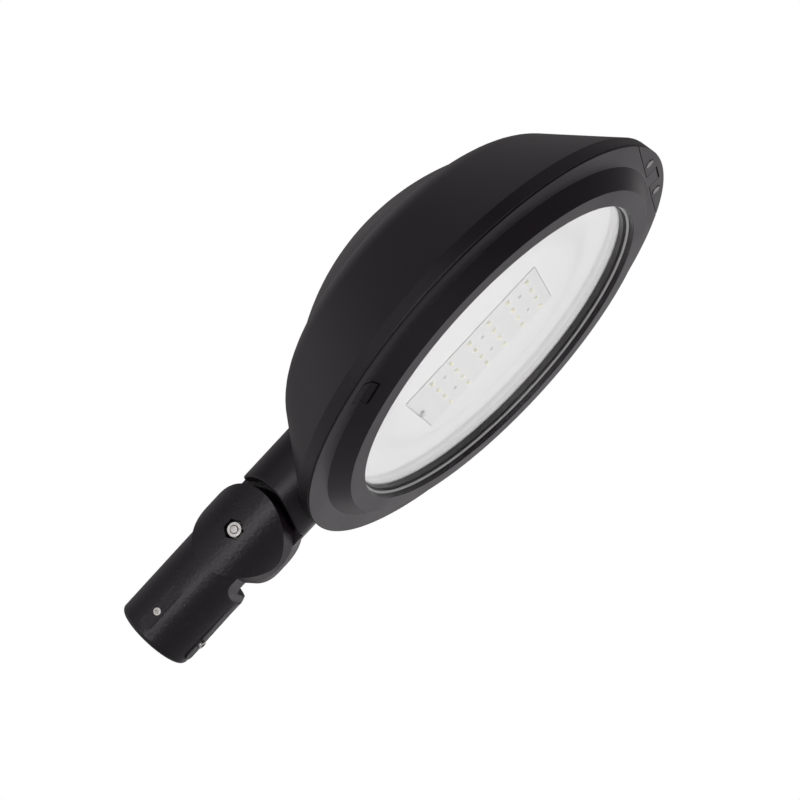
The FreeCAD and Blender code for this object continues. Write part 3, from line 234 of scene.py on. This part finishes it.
def plain(name, colour, roughness, specular=0.5, shade=0.92, grain=60.0):
    """Moulded or painted surface with a faint cloud of darker tone."""
    material, tree = new_material(name)
    node = shader(tree, colour, roughness, specular=specular)
    cloud = noise(tree, grain)
    darker = tuple(shade * c for c in colour)
    clouded = blend_colours(tree, spread(tree, cloud, 0.0, 1.0), darker, colour)
    tree.links.new(clouded, node.inputs["Base Color"])
    return material


LENS_DOME = (1.0, 0.95, 0.66)
LENS_PACKAGE = (0.98, 0.98, 0.95)


def led_lens():
    """White package under a pale yellow dome, blended by height over the board."""
    material, tree = new_material("led_lens")
    node = shader(tree, LENS_DOME, 0.4, specular=0.3)
    depth = remap(tree, object_axis(tree, "Z"), LED_LOW.z, LED_HIGH.z, 0.0, 1.0)
    tree.links.new(blend_colours(tree, depth, LENS_DOME, LENS_PACKAGE), node.inputs["Base Color"])
    return material


GLASS_TINT = (0.985, 0.984, 0.985)
GLASS_IOR = 1.5


def clear_glass():
    """Glass that refracts what is seen through it and lets plain light and shade pass."""
    material, tree = new_material("toughened_glass")
    node = shader(tree, GLASS_TINT, 0.0)
    node.inputs["Transmission Weight"].default_value = 1.0
    node.inputs["IOR"].default_value = GLASS_IOR
    output = next(n for n in tree.nodes if n.type == "OUTPUT_MATERIAL")
    path = tree.nodes.new("ShaderNodeLightPath").outputs
    passing = combine(tree, "MAXIMUM", path["Is Shadow Ray"], path["Is Diffuse Ray"])
    see_through = tree.nodes.new("ShaderNodeBsdfTransparent")
    mixed = mix_shaders(tree, passing, node.outputs["BSDF"], see_through.outputs["BSDF"])
    tree.links.new(mixed, output.inputs["Surface"])
    return material


# Powder coats: colour, roughness, specular, grain and relief in millimetres
COAT_BLACK = (0.0064, 0.0044, 0.0065)
SMOOTH_COAT = coated("charcoal_coat", COAT_BLACK, 0.34, 0.36, 0.9, 0.012)
TEXTURED_COAT = coated("textured_charcoal_coat", COAT_BLACK, 0.36, 0.42, 0.8, 0.12, dent=4.0)
HOUSING_COAT = coated("housing_charcoal_coat", COAT_BLACK, 0.34, 0.36, 0.8, 0.03, dent=16.0,
                      dent_end=HEAD_X - 0.2)

# Metals: colour, roughness
STAINLESS = metal("stainless_steel", (0.80, 0.79, 0.76), 0.3)
DULL_STEEL = metal("dull_steel", (0.44, 0.43, 0.42), 0.34, grain=500.0)
ALUMINIUM = metal("bare_aluminium", (0.72, 0.73, 0.74), 0.4)
DULL_ALUMINIUM = metal("dull_aluminium", (0.76, 0.76, 0.77), 0.5)

# Rubber, plastic and paint: colour, roughness
SEAL = plain("seal_rubber", (0.03, 0.029, 0.03), 0.4)
# Light grey for the seal bead: the silicone's tone lifted into a painted highlight
SEAL_BEAD_HIGHLIGHT = plain("seal_bead_silicone_highlight", (0.24, 0.24, 0.24), 0.35, grain=90.0)
TRAY_WHITE = plain("tray_white", (0.87, 0.86, 0.865), 0.45, specular=0.3, shade=0.98)
BOARD_WHITE = plain("board_solder_mask", (0.79, 0.79, 0.79), 0.4, specular=0.3, shade=0.97)
PALE_SCREW = plain("pale_screw", (0.82, 0.82, 0.82), 0.35, grain=400.0)
# Lighter coat for the ring on the bell's lip edge: a painted highlight
LIP_EDGE_HIGHLIGHT = plain("lip_edge_painted_highlight", (0.055, 0.052, 0.05), 0.35, specular=0.4, shade=0.7,
                  grain=120.0)
WHITE_PLASTIC = plain("white_plastic", (0.74, 0.74, 0.72), 0.4)
GEAR_CASE = plain("gear_case", (0.5, 0.51, 0.52), 0.55)
BLACK_PLASTIC = plain("black_plastic", (0.02, 0.02, 0.02), 0.5)
SHEATH = plain("lead_sheath", (0.3, 0.3, 0.31), 0.6)

LENS = led_lens()
GLASS = clear_glass()

FINISHES = {
    "spigot_casting": TEXTURED_COAT,
    "upper_housing": HOUSING_COAT,
    "top_cap": SMOOTH_COAT,
    "glass_frame": SMOOTH_COAT,
    "latch_plate": SMOOTH_COAT,
    "side_hooks": SMOOTH_COAT,
    "pivot_bolt": STAINLESS,
    "pivot_nut": STAINLESS,
    "pivot_washers": STAINLESS,
    "side_grub_screw": STAINLESS,
    "lower_grub_screw": STAINLESS,
    "cap_screws": STAINLESS,
    "latch_screws": DULL_STEEL,
    "glass_clips": STAINLESS,
    "clip_screws": STAINLESS,
    "plate_screws": STAINLESS,
    "board_screws": PALE_SCREW,
    "driver_screws": STAINLESS,
    "clamp_screws": STAINLESS,
    "glass_gasket": SEAL,
    "body_seal": SEAL,
    "cap_seal": SEAL,
    "glass_pane": GLASS,
    "reflector_tray": TRAY_WHITE,
    "led_board": BOARD_WHITE,
    "led_packages": LENS,
    "board_connector": WHITE_PLASTIC,
    "terminal_block": WHITE_PLASTIC,
    "heat_spreader": DULL_ALUMINIUM,
    "mounting_plate": ALUMINIUM,
    "led_driver": GEAR_CASE,
    "surge_protector": GEAR_CASE,
    "cord_clamp": BLACK_PLASTIC,
    "supply_lead": SHEATH,
}

for node, material in FINISHES.items():
    node_mesh = NODES[node].data
    node_mesh.materials.clear()
    node_mesh.materials.append(material)


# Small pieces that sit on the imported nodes

RING_STEPS = 360
SECTION_STEPS = 16
LEAD_STEPS = 24
MERGE_DISTANCE = 1e-7


def surface(name, points):
    """A mesh from a grid of points: rows run along it, columns run round its section."""
    rows, columns = points.shape[:2]
    row, column = np.meshgrid(np.arange(rows - 1), np.arange(columns), indexing="ij")
    after = (column + 1) % columns
    faces = np.stack([row * columns + column, row * columns + after,
                      (row + 1) * columns + after, (row + 1) * columns + column], axis=-1)
    mesh = bpy.data.meshes.new(name)
    mesh.from_pydata(points.reshape(-1, 3).tolist(), [], faces.reshape(-1, 4).tolist())
    return mesh


def finish_piece(mesh, material, body):
    """Merges doubles, turns the faces outwards, smooths them and puts the piece on its body."""
    work = bmesh.new()
    work.from_mesh(mesh)
    bmesh.ops.remove_doubles(work, verts=work.verts, dist=MERGE_DISTANCE)
    bmesh.ops.recalc_face_normals(work, faces=work.faces)
    work.to_mesh(mesh)
    work.free()
    mesh.polygons.foreach_set("use_smooth", np.ones(len(mesh.polygons), dtype=bool))
    mesh.materials.append(material)
    piece = bpy.data.objects.new(mesh.name, mesh)
    bpy.context.scene.collection.objects.link(piece)
    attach(piece, body)


def ring(name, radius, height, half_width, half_height, material, slot):
    """Ring about the head's axis: at turn u and section angle v a point lies at the distance
    radius + half_width cos v from the axis, at height + half_height sin v."""
    turn = np.linspace(0.0, 2.0 * np.pi, RING_STEPS + 1)[:, None]
    section = np.linspace(0.0, 2.0 * np.pi, SECTION_STEPS, endpoint=False)[None, :]
    reach = radius + half_width * np.cos(section)
    level = np.broadcast_to(height + half_height * np.sin(section), (turn.size, section.size))
    points = np.stack([HEAD_X + reach * np.cos(turn), reach * np.sin(turn), level], axis=-1)
    finish_piece(surface(name, points), material, "head")


def lead(name, bends, radius, material):
    """Round wire: a quadratic curve q(t) = (1-t)^2 a + 2t(1-t) b + t^2 c through three bends, with
    a circle of the given radius carried square to it and closed to a point at both ends."""
    a, b, c = (np.array(bend) for bend in bends)
    t = np.linspace(0.0, 1.0, LEAD_STEPS)[:, None]
    path = (1 - t) ** 2 * a + 2 * t * (1 - t) * b + t ** 2 * c
    heading = 2 * (1 - t) * (b - a) + 2 * t * (c - b)
    heading /= np.linalg.norm(heading, axis=1, keepdims=True)
    side = np.cross(heading, np.cross(b - a, c - b))
    side /= np.linalg.norm(side, axis=1, keepdims=True)
    up = np.cross(heading, side)
    width = np.full(LEAD_STEPS, radius)
    width[[0, -1]] = 0.0
    section = np.linspace(0.0, 2.0 * np.pi, SECTION_STEPS, endpoint=False)[None, :, None]
    circle = np.cos(section) * side[:, None, :] + np.sin(section) * up[:, None, :]
    points = path[:, None, :] + width[:, None, None] * circle
    finish_piece(surface(name, points), material, "head")


# Grey silicone bead between the glass and the collar's inner edge; its light grey also paints the
# bright reflected line along the rim
GLASS_SEATING = 6.0 * MM
COLLAR_INNER_R = (GLASS_HIGH.y - GLASS_LOW.y) / 2 - GLASS_SEATING
BEAD_INSET = 0.9 * MM
BEAD_HEIGHT = 6.3 * MM
BEAD_HALF_SIZES = (1.5 * MM, 1.3 * MM)
ring("seal_bead", COLLAR_INNER_R - BEAD_INSET, HEAD_Z + BEAD_HEIGHT, *BEAD_HALF_SIZES, SEAL_BEAD_HIGHLIGHT,
     "seal_rubber")

# Leads over the board's pole-side edge, in metres: how far past the edge each bend stands, how
# far to the side the lead lies and where it lands. Its root and its landing lie at shares of
# that side.
BOARD_LEADS = ((0.26 * MM, -1.8 * MM, 4.6 * MM), (0.32 * MM, 1.2 * MM, 7.4 * MM))
LEAD_R = 0.18 * MM
LEAD_TUCK = 0.4 * MM
LEAD_RISE = 6.4 * MM
LANDING_GAP = 0.3 * MM
ROOT_SHARE = 0.6
LANDING_SHARE = 2.6
for number, (over, across, landing) in enumerate(BOARD_LEADS):
    root = (BOARD_LOW.x - LEAD_TUCK, ROOT_SHARE * across, BOARD_HIGH.z - LEAD_TUCK)
    bend = (BOARD_LOW.x + over, across, BOARD_LOW.z - LEAD_RISE)
    end = (BOARD_LOW.x + landing, LANDING_SHARE * across, BOARD_LOW.z - LANDING_GAP)
    lead(f"board_lead_{number + 1}", (root, bend, end), LEAD_R, SHEATH)

# Thin lighter ring on the bell's lip, just above the seam with the glass frame: its lighter coat is
# a painted highlight where the lip's lower edge catches light
SEAM_HEIGHT = 14.3 * MM
EDGE_ABOVE_SEAM = 0.25 * MM
EDGE_PAST_GLASS = 46.4 * MM
EDGE_HALF_SIZES = (0.5 * MM, 0.35 * MM)
ring("lip_edge", GLASS_HIGH.y + EDGE_PAST_GLASS, HEAD_Z + SEAM_HEIGHT + EDGE_ABOVE_SEAM,
     *EDGE_HALF_SIZES, LIP_EDGE_HIGHLIGHT, "black_casting")


# Camera: below and in front of the head, looking up, turned so that the pole side is low

FOCAL_MM = 68.87
SENSOR_MM = 36.0
CAMERA_PLACE = (0.3377, -1.3022, -0.4426)
LOOK_UP = 0.3146
LOOK_ASIDE = -0.0228
PICTURE_TURN = math.radians(47.15)
LEVEL_ERROR = 0.0090
CAMERA_REACH = 50.0


def pose(side, up, back, place):
    """Pose of a camera or a lamp from its three axes and its place."""
    matrix = Matrix.Identity(4)
    for column, axis in enumerate((side, up, back, place)):
        for row in range(3):
            matrix[row][column] = float(axis[row])
    return matrix


def make_camera():
    """Camera whose axes are the rows of level * tilt * pan, with the picture turned about its
    middle."""
    cos_e, sin_e = math.cos(LOOK_UP), math.sin(LOOK_UP)
    cos_p, sin_p = math.cos(LOOK_ASIDE), math.sin(LOOK_ASIDE)
    cos_r, sin_r = math.cos(LEVEL_ERROR), math.sin(LEVEL_ERROR)
    pan = np.array([[cos_p, -sin_p, 0.0], [sin_p, cos_p, 0.0], [0.0, 0.0, 1.0]])
    tilt = np.array([[1.0, 0.0, 0.0], [0.0, sin_e, -cos_e], [0.0, cos_e, sin_e]])
    level = np.array([[cos_r, -sin_r, 0.0], [sin_r, cos_r, 0.0], [0.0, 0.0, 1.0]])
    rows = level @ tilt @ pan
    cos_a, sin_a = math.cos(PICTURE_TURN), math.sin(PICTURE_TURN)
    right = cos_a * rows[0] + sin_a * rows[1]
    up = sin_a * rows[0] - cos_a * rows[1]
    data = bpy.data.cameras.new("camera")
    data.lens = FOCAL_MM
    data.sensor_width = SENSOR_MM
    data.clip_end = CAMERA_REACH
    camera = bpy.data.objects.new("camera", data)
    camera.matrix_world = pose(right, up, -rows[2], CAMERA_PLACE)
    bpy.context.scene.collection.objects.link(camera)
    bpy.context.scene.camera = camera


make_camera()


# Studio

FLOOR_DROP = 0.75
FLOOR_HALF = 3.0
FLOOR_CLOUD = 3.0
FLOOR_DARKER = (0.88, 0.88, 0.88)
FLOOR_LIGHTER = (0.92, 0.92, 0.92)
FLOOR_BOUNCE = (0.43, 0.43, 0.43)
FLOOR_SHADE = (0.12, 0.12, 0.12)
# Dark cards on the floor, which the camera doesn't see: direction along the floor, metres where
# each starts and is full, share of shade
FLOOR_CARDS = (
    ((1.0, -0.6, 0.0), HEAD_X + 0.1, HEAD_X + 0.5, 1.0),
    ((-1.0, -0.3, 0.0), 0.01, 0.15, 0.45),
)


def floor_cards(tree):
    """Share of shade that the dark cards give, the larger one where two meet."""
    total = None
    for direction, start, full, share in FLOOR_CARDS:
        card = remap(tree, along(tree, "Object", direction), start, full, 0.0, share)
        total = card if total is None else combine(tree, "MAXIMUM", card, total)
    return total


def make_floor():
    """Flat pale floor below the part."""
    z = CAD_BOX[0][2] - FLOOR_DROP
    corners = np.array([[-1, -1], [1, -1], [1, 1], [-1, 1]]) * FLOOR_HALF
    vertices = np.column_stack([corners[:, 0] + HEAD_X, corners[:, 1], np.full(4, z)])
    mesh = bpy.data.meshes.new("floor")
    mesh.from_pydata(vertices.tolist(), [], [[0, 1, 2, 3]])
    floor = bpy.data.objects.new("floor", mesh)
    bpy.context.scene.collection.objects.link(floor)
    material, tree = new_material("floor_paint")
    node = shader(tree, FLOOR_LIGHTER, 0.7, specular=0.2)
    pale = blend_colours(tree, noise(tree, FLOOR_CLOUD), FLOOR_DARKER, FLOOR_LIGHTER)
    bounce = blend_colours(tree, floor_cards(tree), FLOOR_BOUNCE, FLOOR_SHADE)
    path = tree.nodes.new("ShaderNodeLightPath")
    colour = blend_colours(tree, path.outputs["Is Camera Ray"], bounce, pale)
    tree.links.new(colour, node.inputs["Base Color"])
    mesh.materials.append(material)


make_floor()


LAMP_DROP = 0.7
LAMP_SIZE = 0.5
LAMP_POWER = 5.55


def make_lamp():
    """Soft square lamp below the head, facing up, that shows neither to the camera nor in gloss."""
    data = bpy.data.lights.new("under_lamp", "AREA")
    data.shape = "SQUARE"
    data.size = LAMP_SIZE
    data.energy = LAMP_POWER
    lamp = bpy.data.objects.new("under_lamp", data)
    place = (HEAD_X, 0.0, HEAD_Z - LAMP_DROP)
    lamp.matrix_world = pose((1.0, 0.0, 0.0), (0.0, -1.0, 0.0), (0.0, 0.0, -1.0), place)
    lamp.visible_glossy = False
    lamp.visible_camera = False
    bpy.context.scene.collection.objects.link(lamp)


make_lamp()


STUDIO_LIGHT = 0.95
GLOSS_TINT = (1.0, 0.96, 0.98)
GLOSS_BASE = 0.12
# Studio boxes seen in gloss: direction, cosine where each starts, cosine where it is full,
# strength
GLOSS_BOXES = (
    ((-0.05, -0.91, -0.42), 0.81, 0.94, 3.50),
    ((0.06, 0.86, -0.50), 0.72, 0.95, 0.95),
    ((0.88, 0.15, 0.45), 0.60, 0.95, 0.10),
    ((0.0, 0.45, 0.89), 0.86, 0.98, 0.15),
    ((0.0, 0.25, 0.97), 0.30, 0.95, 0.03),
    ((-0.30, -0.88, 0.36), 0.76, 0.97, 0.45),
    ((-0.88, -0.15, 0.45), 0.55, 0.95, 0.36),
)


def gloss_light(tree):
    """Strength of the studio seen in gloss: an even base and a soft round box for each entry."""
    total = GLOSS_BASE
    for direction, start, full, strength in GLOSS_BOXES:
        unit = np.array(direction) / np.linalg.norm(direction)
        reach = along(tree, "Generated", unit)
        box = remap(tree, reach, start, full, 0.0, strength, interpolation="SMOOTHSTEP")
        total = combine(tree, "ADD", box, total)
    return total


def backdrop(tree, colour, strength):
    """Even light of a colour from all round; strength may be the output of a node."""
    node = tree.nodes.new("ShaderNodeBackground")
    node.inputs["Color"].default_value = (*colour, 1.0)
    if isinstance(strength, float):
        node.inputs["Strength"].default_value = strength
    else:
        tree.links.new(strength, node.inputs["Strength"])
    return node.outputs["Background"]


def make_world():
    """White to the camera and through glass, soft boxes in gloss, and even light for the rest."""
    world = bpy.data.worlds.new("studio")
    bpy.context.scene.world = world
    world.use_nodes = True
    tree = world.node_tree
    tree.nodes.clear()
    output = tree.nodes.new("ShaderNodeOutputWorld")
    white = (1.0, 1.0, 1.0)
    path = tree.nodes.new("ShaderNodeLightPath").outputs
    seen = combine(tree, "MAXIMUM", path["Is Camera Ray"], path["Is Transmission Ray"])
    studio = mix_shaders(tree, path["Is Glossy Ray"], backdrop(tree, white, STUDIO_LIGHT),
                         backdrop(tree, GLOSS_TINT, gloss_light(tree)))
    tree.links.new(mix_shaders(tree, seen, studio, backdrop(tree, white, 1.0)),
                   output.inputs["Surface"])


make_world()

bpy.context.scene.view_settings.view_transform = "Standard"
